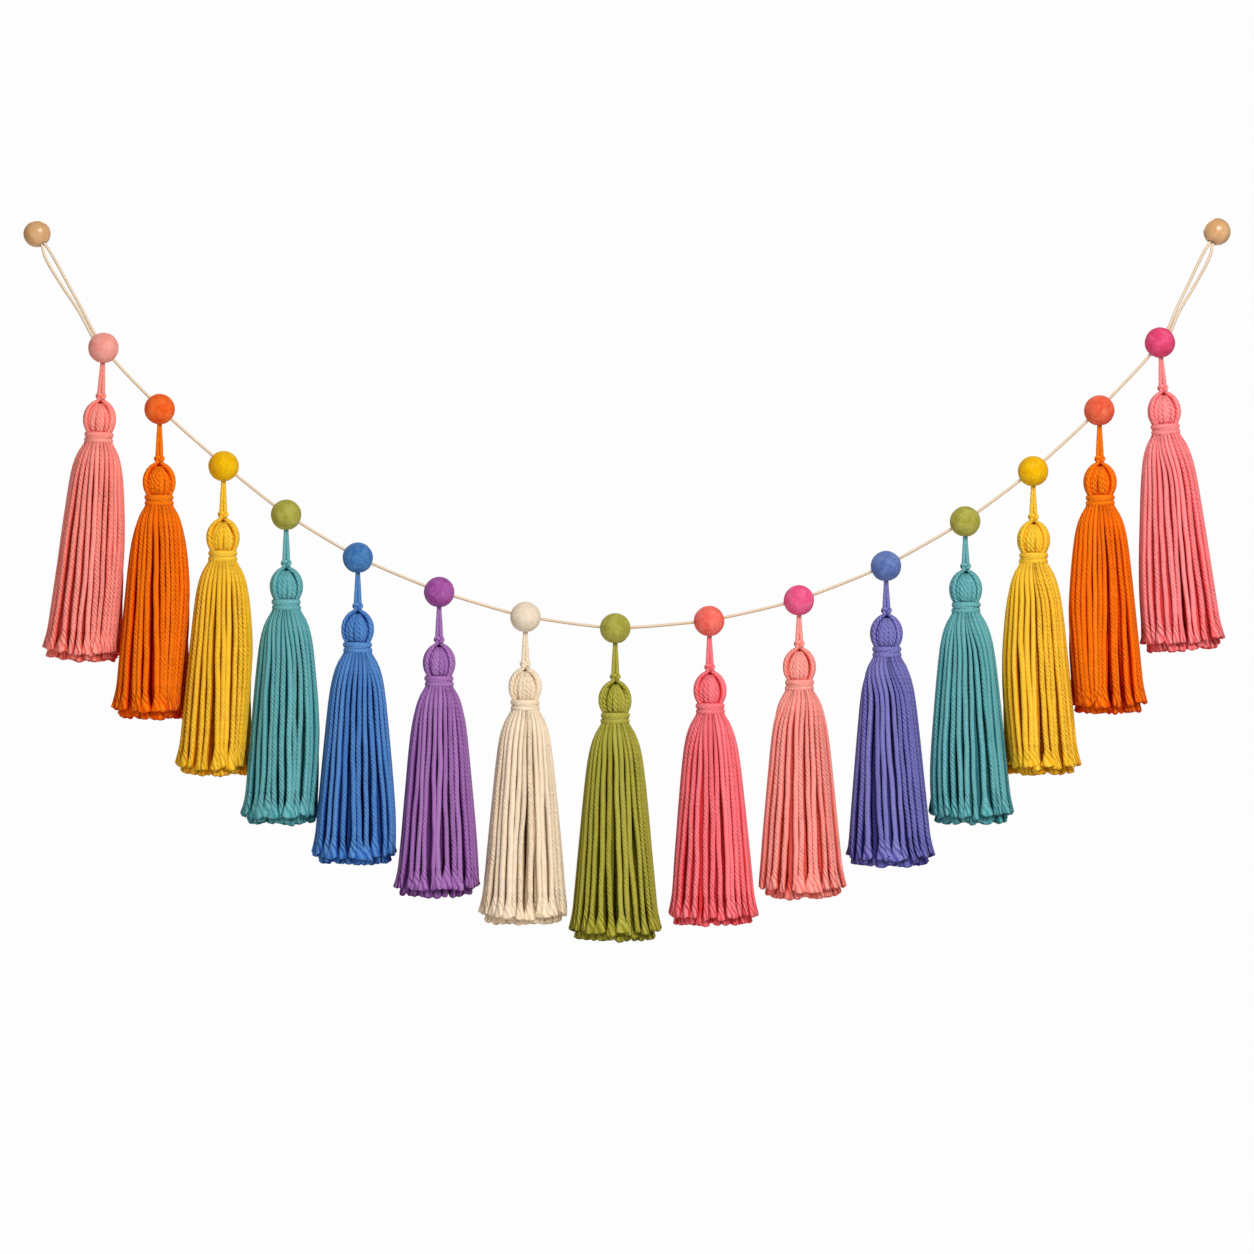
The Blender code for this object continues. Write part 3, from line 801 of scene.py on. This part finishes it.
def share_out(index, ring, rng):
    """Angles, half-widths and depths of a ring's strands at drops below the neck.

    Strands keep a little apart, and lie closer in front and behind than at the sides. Lower down
    the room between them is shared unevenly, which leaves a few wide gaps. Some strands come out
    from under their neighbours a little below the neck.
    """
    drops = np.linspace(0.0, LENGTHS[index], 25)
    even = rng.uniform(0.0, FULL_TURN) + FULL_TURN * np.arange(ring.count) / ring.count
    closeness = 1.0 + 2.0 * CROWDED * np.cos(2.0 * even)
    widths = ring.width * rng.uniform(0.88, 1.1, ring.count) * closeness**0.6
    gaps = (0.5 + 2.4 * rng.uniform(0.0, 1.0, ring.count) ** 4) * closeness
    gaps /= gaps.sum()
    share = smooth(drops / LENGTHS[index] * 5.0)
    round_it = FULL_TURN * (skirt_radius(index, drops) - 0.5 * ring.width - ring.inset * share)
    filled = CLOSED_TOP + (STRAND_SHARE - CLOSED_TOP) * smooth(drops / CLOSED_LENGTH)
    late = (np.arange(ring.count) + rng.integers(0, 2, ring.count)) % LATE_STRANDS == 0
    hidden = np.outer(1.0 - smooth(drops / (CLOSED_LENGTH * 1.3)), late)
    widths = widths[None, :] * (1.0 - 0.5 * hidden)
    fit = np.minimum(1.0, filled * round_it / widths.sum(axis=1))
    wide = fit[:, None] * widths
    room = (round_it - wide.sum(axis=1))[:, None] * gaps[None, :]
    reached = np.cumsum(wide + room, axis=1) - 0.5 * wide - 0.5 * room
    angles = even[0] + FULL_TURN * reached / round_it[:, None]
    return drops, angles, 0.5 * wide, LATE_DEPTH * hidden


def hang_ring(skein, index, blank, ring, rng):
    """Hang one ring of strands round the neck, each with its own sway and cut end."""
    drops, angles, halves, depths = share_out(index, ring, rng)
    for number in range(ring.count):
        angle = angles[-1, number]
        shorter = ring.shorter + ring.side_shorter * math.cos(angle) ** 2
        length = LENGTHS[index] - shorter + rng.uniform(*END_VARIES)
        drop = -SHORT_ROOT + (length + SHORT_ROOT) * blank.stations
        hung = np.clip(drop, 0.0, None)
        share = hung / length
        opening = np.clip(1.0 - (length - drop) / rng.uniform(*OPENS_OVER), 0.0, 1.0) ** OPENS_LATE
        level = hung * LENGTHS[index] / length
        side_half = np.interp(hung, drops, halves[:, number])
        out_half = np.minimum(0.5 * ring.width, 0.85 * MM + 0.10 * hung) * rng.uniform(0.92, 1.05)
        sway = rng.uniform(0.2, 0.8)
        wave = sway * np.sin(FULL_TURN * (share * rng.uniform(0.7, 1.8) + rng.uniform()))
        wave = wave + 0.2 * np.sin(FULL_TURN * (share * rng.uniform(3.0, 5.0) + rng.uniform()))
        slant = rng.normal(0.0, 0.7) * MM * smooth(share * 1.2) + wave * MM * smooth(share * 2.0)
        spreading = 0.2 + 1.9 * rng.uniform() ** 1.1
        recess = rng.uniform(0.0, 1.2) ** 1.5 + 0.5 * (1.2 - spreading) * opening
        recess = recess * MM * smooth(share * 3.0) + np.interp(hung, drops, depths[:, number])
        inset = out_half + ring.inset * smooth(share * 5.0 + 0.25) + recess

        turned = np.interp(hung, drops, angles[:, number]) + slant / skirt_radius(index, level)
        across, deep = outside(index, level, turned)
        outward = np.stack((np.cos(turned), np.sin(turned), np.zeros_like(turned)), axis=1)
        inset = inset + np.where(drop < 0.0, ROOT_INSET, 0.0)
        way = np.stack((across, deep, -SKIRT_TOP - drop), axis=1) - inset[:, None] * outward
        column = np.arange(blank.sides)
        lobes = rng.uniform(-0.55, 0.45, blank.sides)
        scallop = 0.5 * spreading * np.sin(FULL_TURN * column / blank.sides) ** 4
        ragged = (lobes - scallop) * MM
        # Painted shade on an inner strand, fading out near its cut end, where light reaches.
        shade = ring.shade * (1.0 - 0.75 * smooth(1.3 - (length - drop) / END_LIT))
        painted_shade_and_tone = (shade, rng.uniform(0.3, 1.1) + 1.4 * opening, rng.uniform(0.0, 0.35))
        # Painted shade on the strand's sides, weaker near the neck, where the strands lie close
        # together.
        painted_flank_shade = 0.3 + 0.7 * smooth(hung / CLOSED_LENGTH)
        out_half = out_half * (1.0 - 0.12 * opening)
        side_half = side_half * (1.0 - 0.2 * smooth(opening * 12.0))
        side_half = side_half + ring.broom * spreading * opening
        skein.lay(blank, way, outward, (out_half, side_half), painted_shade_and_tone, painted_flank_shade, opening, ragged)


# ---- head, windings and hanger

def head_way(angle, start, twist, lift, stations, gather=0.0):
    """Way over the head from its top to under the windings, at an angle round the axis."""
    upper = np.linspace(start, 0.5 * math.pi, 7)
    lower_end = math.asin((NECK_DROP - HEAD_WIDEST) / HEAD_FALL)
    lower = np.linspace(0.0, lower_end, 4)[1:]
    rise = HEAD_WIDEST - HEAD_TOP
    radius = HEAD_RADIUS * np.concatenate((np.sin(upper), np.cos(lower)))
    drop = HEAD_WIDEST + np.concatenate((-rise * np.cos(upper), HEAD_FALL * np.sin(lower)))
    radius = np.append(radius, NECK_RADIUS)
    drop = np.append(drop, NECK_DROP + NECK_HIDDEN)
    gone = np.linspace(0.0, 1.0, len(radius))
    turned = angle + twist * gone - gather * (1.0 - gone) ** 2
    radius = radius + lift
    knots = np.stack((radius * np.cos(turned), radius * np.sin(turned), -drop), axis=1)
    return rounded_way(knots, stations)


def fold_head(skein, blank, rng):
    """Strands folded over the head, with a pair of shoulders parted under the knot."""
    for number in range(HEAD_STRANDS):
        angle = FULL_TURN * (number + 0.5 + rng.uniform(-0.15, 0.15)) / HEAD_STRANDS
        from_front = math.remainder(angle - FRONT, math.pi)
        middle = abs(from_front) < NOTCH_REACH
        half = rng.uniform(1.8, 2.1) * MM
        lift = -half - (1.0 if middle else 0.1) * MM - rng.uniform(0.0, 0.3) * MM
        start = NOTCH_START if middle else HEAD_START
        gather = NOTCH_GATHER * from_front if middle else 0.0
        way = head_way(angle, start, rng.uniform(-0.15, 0.15), lift, blank.stations, gather)
        reach = np.hypot(way[:, 0], way[:, 1]) + 1.2 * MM
        side_half = np.clip(0.6 * FULL_TURN * reach / HEAD_STRANDS, 0.4 * MM, 1.12 * half)
        if middle:
            side_half = side_half * (0.65 + 0.35 * smooth(4.0 * blank.stations))
        outward = way - np.array((0.0, 0.0, -HEAD_WIDEST))
        painted_shade_and_tone = (0.0, rng.uniform(0.5, 1.1), rng.uniform(0.0, 0.35))
        # Painted shade on the head strands' sides, lighter than on the skirt.
        skein.lay(blank, way, outward, (half, side_half), painted_shade_and_tone, painted_flank_shade=0.45)
    for face in (-1.0, 1.0):
        for side in (-1.0, 1.0):
            half = rng.uniform(1.75, 2.0) * MM
            angle = math.atan2(face, side * rng.uniform(0.9, 1.6))
            twist = side * face * rng.uniform(-0.25, 0.0)
            lower = head_way(angle, SHOULDER_START, twist, -0.6 * half, np.linspace(0.0, 1.0, 7))
            over = np.array(SHOULDER_TOP) * np.array((side, face, -1.0))
            way = rounded_way(np.vstack((over, lower)), blank.stations)
            outward = way - np.array((0.0, 0.0, -HEAD_WIDEST))
            narrow = 0.6 + 0.4 * smooth(blank.stations * 4.0)
            painted_shade_and_tone = (0.0, rng.uniform(0.5, 0.9), rng.uniform(0.15, 0.35))
            # Painted shade on the shoulders' sides at full strength.
            skein.lay(blank, way, outward, (half * narrow, half * narrow), painted_shade_and_tone)
    drops = FILLING_TOP + (WINDING_DROPS[1] - FILLING_TOP) * blank.stations
    way = np.stack((0.0 * drops, 0.0 * drops, -drops), axis=1)
    bulge = np.sin(math.pi * np.clip(blank.stations * 1.25, 0.0, 1.0))
    fill = (4.2 + 3.6 * bulge + 2.2 * smooth(blank.stations * 3.0 - 1.5)) * MM
    # The filling inside the head and neck, darkened with painted shade as if in the shadow inside
    # the head.
    skein.lay(blank, way, (0.0, -1.0, 0.0), (fill, fill), (0.7, 0.0, 0.0))


def tie_knot(skein, blank):
    """The small knot on top of the head: one strand through its own loop."""
    turn = np.linspace(0.03, FULL_TURN - 0.03, len(blank.stations)) - FRONT
    across = (np.sin(turn) + 2.0 * np.sin(2.0 * turn)) * KNOT_WIDTH
    up = (np.cos(turn) - 2.0 * np.cos(2.0 * turn)) * KNOT_HEIGHT
    deep = -np.sin(3.0 * turn) * KNOT_DEPTH
    way = np.stack((across, deep, up - KNOT_MIDDLE), axis=1)
    outward = way - np.array((0.0, 0.0, -KNOT_MIDDLE))
    # Painted shade where the knot's strand turns in against itself.
    skein.lay(blank, way, outward, KNOT_HALVES, (0.0, 0.4, 0.25), painted_flank_shade=0.9)


def loop_hanger(skein, index, blank):
    """The hanger: up from the knot into the ball, over the string and down again."""
    middle = tassel_matrix(index).inverted() @ bore_centre(index)
    raised = skein.raised
    run = Matrix.Rotation(lean_of(index), 3, "Y") @ bore_way(index)
    over = above(run)
    back = Vector((0.0, 1.0, 0.0))
    eye = STRING_RADIUS + EYE_CLEAR
    rising = []
    for leg in LEGS:
        angle = leg.turn * 0.25 * FULL_TURN
        x, y = leg.offset * math.cos(angle), leg.offset * math.sin(angle)
        rising.append(Vector((x, y, -leg.drop)))
    rising[0].z += raised
    rising[1].z += raised
    falling = [Vector((-point.x, -point.y, point.z)) for point in reversed(rising)]
    arc = []
    for step in range(5):
        angle = math.pi * step / 4.0
        arc.append(middle + (back * math.cos(angle) + over * math.sin(angle)) * eye)
    knots = rising + arc + falling
    way = rounded_way(knots, blank.stations) - np.array((0.0, 0.0, raised))
    half = (0.62 + 0.78 * np.abs(2.0 * blank.stations - 1.0)) * MM
    # Painted shade on the hanger's sides and back, away from the front.
    skein.lay(blank, way, (0.0, -1.0, 0.15), (half, half), (0.0, 0.5, 0.2), painted_flank_shade=0.8)


def wind_neck(skein, blank, rng):
    """Two windings round the neck, and the yarn's end crossing between them in front."""
    wobble = rng.uniform(0.0, FULL_TURN)
    for drop in WINDING_DROPS:
        turn = np.linspace(0.0, WINDING_TURNS * FULL_TURN, len(blank.stations)) - FRONT
        radius = WINDING_RADIUS + 0.15 * MM * np.sin(3.0 * turn + wobble + 900.0 * drop)
        height = -drop + 0.1 * MM * np.sin(turn + wobble + 40.0 * drop)
        way = np.stack((radius * np.cos(turn), radius * np.sin(turn), height), axis=1)
        outward = way * np.array((1.0, 1.0, 0.0))
        painted_shade_and_tone = (0.0, 0.5, rng.uniform(0.1, 0.35))
        # Painted shade on the winding's upper and lower edges, where it turns in against the neck.
        skein.lay(blank, way, outward, WINDING_HALVES, painted_shade_and_tone, painted_flank_shade=0.9)
    share = np.linspace(-1.0, 1.0, len(blank.stations))
    turn = FRONT + rng.uniform(-0.3, 0.3) + share * CROSSING_REACH
    side = 1.0 if rng.uniform() < 0.7 else -1.0
    height = -0.5 * sum(WINDING_DROPS) + side * 0.7 * MM * np.sin(share * 1.5)
    radius = WINDING_RADIUS + CROSSING_HALVES[0] - CROSSING_HALVES[1] * share**4
    way = np.stack((radius * np.cos(turn), radius * np.sin(turn), height), axis=1)
    outward = way * np.array((1.0, 1.0, 0.0))
    # Painted shade on the crossing end's edges, as on the windings.
    skein.lay(blank, way, outward, CROSSING_HALVES, (0.0, 0.5, 0.3), painted_flank_shade=0.9)


# ---- felt balls and beads

def apply_cut(piece, cutter):
    """Cut one piece with another, which is then removed."""
    cut = piece.modifiers.new("Cut", "BOOLEAN")
    cut.operation = "DIFFERENCE"
    cut.solver = "EXACT"
    cut.object = cutter
    start_clean(piece)
    bpy.ops.object.modifier_apply(modifier=cut.name)
    bpy.data.objects.remove(cutter, do_unlink=True)


def round_cutter(lower, upper, length, matrix):
    start_clean()
    bpy.ops.mesh.primitive_cone_add(vertices=20, radius1=lower, radius2=upper, depth=length)
    cutter = bpy.context.object
    cutter.data.transform(matrix)
    return cutter


def towards(way):
    """Rotation that brings local Z onto a direction."""
    return way.to_track_quat("Z", "Y").to_matrix().to_4x4()


def felt_ball(index):
    """A rolled felt ball, not quite round, cut for the string and the hanger."""
    start_clean()
    bpy.ops.mesh.primitive_ico_sphere_add(subdivisions=5, radius=FELT_RADIUS)
    ball = bpy.context.object
    ball.name = "felt_" + ball_name(index)
    for vertex in ball.data.vertices:
        place = vertex.co / FELT_RADIUS
        lumps = noise.noise(place * 1.6 + Vector((index * 7.3, 0.0, 0.0))) * FELT_LUMPS
        grain = noise.noise(place * 7.0 + Vector((0.0, index * 5.1, 0.0))) * FELT_ROUGHNESS
        vertex.co += vertex.normal * (lumps + grain - FELT_SHRUNK)
    ball.data.transform(Matrix.Translation(CENTRES[index]))

    way = bore_way(index)
    hole = STRING_RADIUS + STRING_CLEAR
    middle = Matrix.Translation(bore_centre(index)) @ towards(way)
    apply_cut(ball, round_cutter(hole, hole, 4.0 * FELT_RADIUS, middle))
    depth = FELT_RADIUS + CUTTER_PAST + POCKET_HEIGHT
    raised = Matrix.Translation((0.0, 0.0, POCKET_HEIGHT - 0.5 * depth))
    apply_cut(ball, round_cutter(POCKET_MOUTH, POCKET_TOP, depth, tassel_matrix(index) @ raised))
    if index in (0, LAST):
        mouth = Matrix.Translation(tail_mouth(index)) @ towards(tail_way(index))
        apply_cut(ball, round_cutter(hole, hole, 2.0 * TAIL_IN_BALL + 0.5 * CUTTER_PAST, mouth))
    start_clean(ball)
    bpy.ops.object.shade_smooth_by_angle(angle=math.radians(50.0))
    return ball


def wood_bead():
    """A turned bead round the origin, its hole along Z with softened rims."""
    low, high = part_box("wood_bead_left")
    radius = 0.5 * (high.y - low.y)
    start_clean()
    bpy.ops.mesh.primitive_uv_sphere_add(segments=48, ring_count=22, radius=radius)
    bead = bpy.context.object
    edit_mode(True)
    bpy.ops.mesh.select_all(action="DESELECT")
    edit_mode(False)
    for vertex in bead.data.vertices:
        vertex.select = math.hypot(vertex.co.x, vertex.co.y) < 0.85 * BEAD_BORE
    edit_mode(True)
    bpy.ops.mesh.delete(type="VERT")
    bpy.ops.mesh.select_all(action="SELECT")
    bpy.ops.mesh.region_to_loop()
    bpy.ops.mesh.bridge_edge_loops()
    bpy.ops.mesh.select_all(action="SELECT")
    bpy.ops.mesh.normals_make_consistent(inside=False)
    edit_mode(False)
    rims = bead.modifiers.new("Rims", "BEVEL")
    rims.limit_method = "ANGLE"
    rims.angle_limit = math.radians(40.0)
    rims.width = BEAD_RIM
    rims.segments = 3
    bpy.ops.object.modifier_apply(modifier=rims.name)
    bpy.ops.object.shade_smooth_by_angle(angle=math.radians(40.0))
    add_attribute(bead.data, "grain", point_array(bead.data))
    return bead


def place_bead(pattern, node, centre, ball):
    """A copy of the bead, its hole towards the ball and tipped a little to the front."""
    run = (ball - centre).normalized()
    way = run * math.cos(BEAD_TIP) + Vector((0.0, -1.0, 0.0)) * math.sin(BEAD_TIP)
    bead = add_object("turned_" + node, pattern.data.copy())
    bead.data.transform(Matrix.Translation(centre) @ towards(way))
    return bead


# ---- string

def loop_strand(bead, ball, column):
    """Points of one strand of an end loop, from inside the bead to short of the ball."""
    run = (ball - bead).normalized()
    front = Vector((0.0, -1.0, 0.0))
    points = []
    for row in LOOP_NEAR_BEAD:
        reach = run * row.along + above(run) * getattr(row, column) + front * row.front
        points.append(bead + reach * MM)
    return points


def string_points():
    """Route of the string from inside the left bead to inside the right bead."""
    points = loop_strand(LEFT_BEAD, CENTRES[0], "string")
    for index in range(len(CENTRES)):
        way = bore_way(index)
        points.append(bore_centre(index) - way * FELT_RADIUS)
        points.append(bore_centre(index) + way * FELT_RADIUS)
    points.extend(reversed(loop_strand(RIGHT_BEAD, CENTRES[-1], "string")))
    return points


def tail_way(index):
    """Direction in which a turned-back tail runs into its felt ball."""
    way = bore_way(index)
    return way if index == 0 else -way


def tail_mouth(index):
    """Where a turned-back tail enters its felt ball, just below the string."""
    way = tail_way(index)
    return bore_centre(index) - way * FELT_RADIUS - above(way) * STRANDS_APART


def tail_points(bead, index):
    """Route of a turned-back tail from inside its bead to inside the felt ball."""
    mouth = tail_mouth(index)
    inside = mouth + tail_way(index) * TAIL_IN_BALL
    return loop_strand(bead, CENTRES[index], "tail") + [mouth, inside]


def run_string(node, points, blank, finish):
    """One free run of string."""
    skein = Skein()
    way = rounded_way(points, blank.stations)
    halves = (STRING_RADIUS, STRING_RADIUS)
    # Painted shade on the string's lower, rear side, as if shaded from the light above; its upper
    # front side keeps its colour.
    skein.lay(blank, way, (0.0, -0.6, 0.8), halves, (0.0, 0.8, 0.2), painted_flank_shade=0.7)
    strand = skein.wind_up("twisted_" + node, finish)
    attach(strand, "root")
    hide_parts(node)


# ---- camera, light and stage

def set_stage():
    """A pale floor well below, soft light all round and from the front."""
    low, high = frame_box
    centre = 0.5 * (low + high)
    width = high.x - low.x
    start_clean()
    bpy.ops.mesh.primitive_circle_add(vertices=96, radius=FLOOR_REACH * width, fill_type="NGON")
    floor = bpy.context.object
    floor.name = "floor"
    floor.data.transform(Matrix.Translation((centre.x, 0.0, low.z - FLOOR_DROP)))
    pale = Recipe("pale floor", FLOOR_COLOUR)
    pale.plug(pale.colour, pale.shader.inputs["Base Color"])
    pale.plug(0.8, pale.shader.inputs["Roughness"])
    floor.data.materials.append(pale.material)

    world = bpy.data.worlds.new("studio")
    world.use_nodes = True
    bpy.context.scene.world = world
    tree = world.node_tree
    seen = tree.nodes.new("ShaderNodeLightPath").outputs["Is Camera Ray"]
    around = tree.nodes["Background"]
    around.inputs["Color"].default_value = (1.0, 1.0, 1.0, 1.0)
    around.inputs["Strength"].default_value = SKY_STRENGTH
    behind = tree.nodes.new("ShaderNodeBackground")
    behind.inputs["Color"].default_value = SKY_SEEN
    mix = tree.nodes.new("ShaderNodeMixShader")
    for source, socket in zip((seen, around.outputs[0], behind.outputs[0]), mix.inputs):
        tree.links.new(source, socket)
    tree.links.new(mix.outputs[0], tree.nodes["World Output"].inputs["Surface"])

    for lamp in LAMPS:
        light = bpy.data.lights.new(lamp.name, "AREA")
        light.size = lamp.size
        light.energy = lamp.power
        hung = add_object(lamp.name, light)
        hung.location = centre + Vector(lamp.place)
        hung.rotation_euler = (-Vector(lamp.place)).to_track_quat("-Z", "Y").to_euler()

    camera = bpy.data.cameras.new("camera")
    camera.lens = LENS
    camera.sensor_width = SENSOR
    seat = add_object("camera", camera)
    away = FRAMED * width * LENS / SENSOR
    seat.location = (centre.x, -away, centre.z - FRAME_DROP * width)
    seat.rotation_euler = (0.25 * FULL_TURN, 0.0, 0.0)
    camera.clip_end = 100.0
    bpy.context.scene.camera = seat
    bpy.context.scene.view_settings.view_transform = "Standard"


# ---- put together


def dress(piece, node):
    """A piece that stands for a node: hung from the root, with the node's part hidden."""
    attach(piece, "root")
    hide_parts(node)


def lay_up_tassel(index, blanks, finish):
    """One tassel with its hanger, and the windings round its neck."""
    rng = np.random.default_rng(410 + index)
    row = HANGINGS[index]
    skein = Skein(raised=row.raised * MM)
    loop_hanger(skein, index, blanks["cord"])
    tie_knot(skein, blanks["cord"])
    fold_head(skein, blanks["head"], rng)
    hang_ring(skein, index, blanks["outer"], OUTER_RING, rng)
    hang_ring(skein, index, blanks["inner"], MIDDLE_RING, rng)
    for ring in CORE_RINGS:
        hang_ring(skein, index, blanks["core"], ring, rng)
    windings = Skein(raised=row.raised * MM)
    wind_neck(windings, blanks["cord"], rng)

    matrix = tassel_matrix(index)
    node = tassel_name(index)
    dress(skein.wind_up("yarn_" + node, finish, matrix), node)
    node = "binding_%02d" % (index + 1)
    dress(windings.wind_up("wound_" + node, finish, matrix), node)


def spin_yarn(name):
    """A yarn's material: pale yarn passes the light on, so it gets less painted shade."""
    depth = PALE_PAINTED_SHADE_SHARE if name == PALE_YARN else 1.0
    painted_furrow_shade = PLY_PAINTED_FURROW_SHADE * (0.4 + 0.6 * depth)
    colour = YARN_COLOURS[name]
    return plied("yarn " + name, colour, PLIES, PLY_SPACING, PLY_RELIEF, painted_furrow_shade, depth)


def main():
    set_stage()
    blanks = {name: model_blank(name, sides, spaced(*runs)) for name, sides, runs in BLANKS}
    yarns = {}
    felts = {}
    for row in HANGINGS:
        if row.yarn not in yarns:
            yarns[row.yarn] = spin_yarn(row.yarn)
        if row.felt not in felts:
            felts[row.felt] = felted("felt " + row.felt, FELT_COLOURS[row.felt])

    cotton = plied(
        "cotton string",
        STRING_COLOUR,
        STRING_PLIES,
        STRING_PLY_SPACING,
        STRING_RELIEF,
        STRING_PAINTED_FURROW_SHADE,
        uneven=0.0,
    )
    run_string("string", string_points(), blanks["string"], cotton)
    run_string("string_tail_left", tail_points(LEFT_BEAD, 0), blanks["tail"], cotton)
    run_string("string_tail_right", tail_points(RIGHT_BEAD, LAST), blanks["tail"], cotton)

    pattern = wood_bead()
    pattern.data.materials.append(turned_wood("turned wood", WOOD_COLOUR))
    for node, centre, ball in (
        ("wood_bead_left", LEFT_BEAD, CENTRES[0]),
        ("wood_bead_right", RIGHT_BEAD, CENTRES[-1]),
    ):
        dress(place_bead(pattern, node, centre, ball), node)
    bpy.data.objects.remove(pattern, do_unlink=True)

    for index, row in enumerate(HANGINGS):
        ball = felt_ball(index)
        ball.data.materials.clear()
        ball.data.materials.append(felts[row.felt])
        dress(ball, ball_name(index))
        lay_up_tassel(index, blanks, yarns[row.yarn])


main()
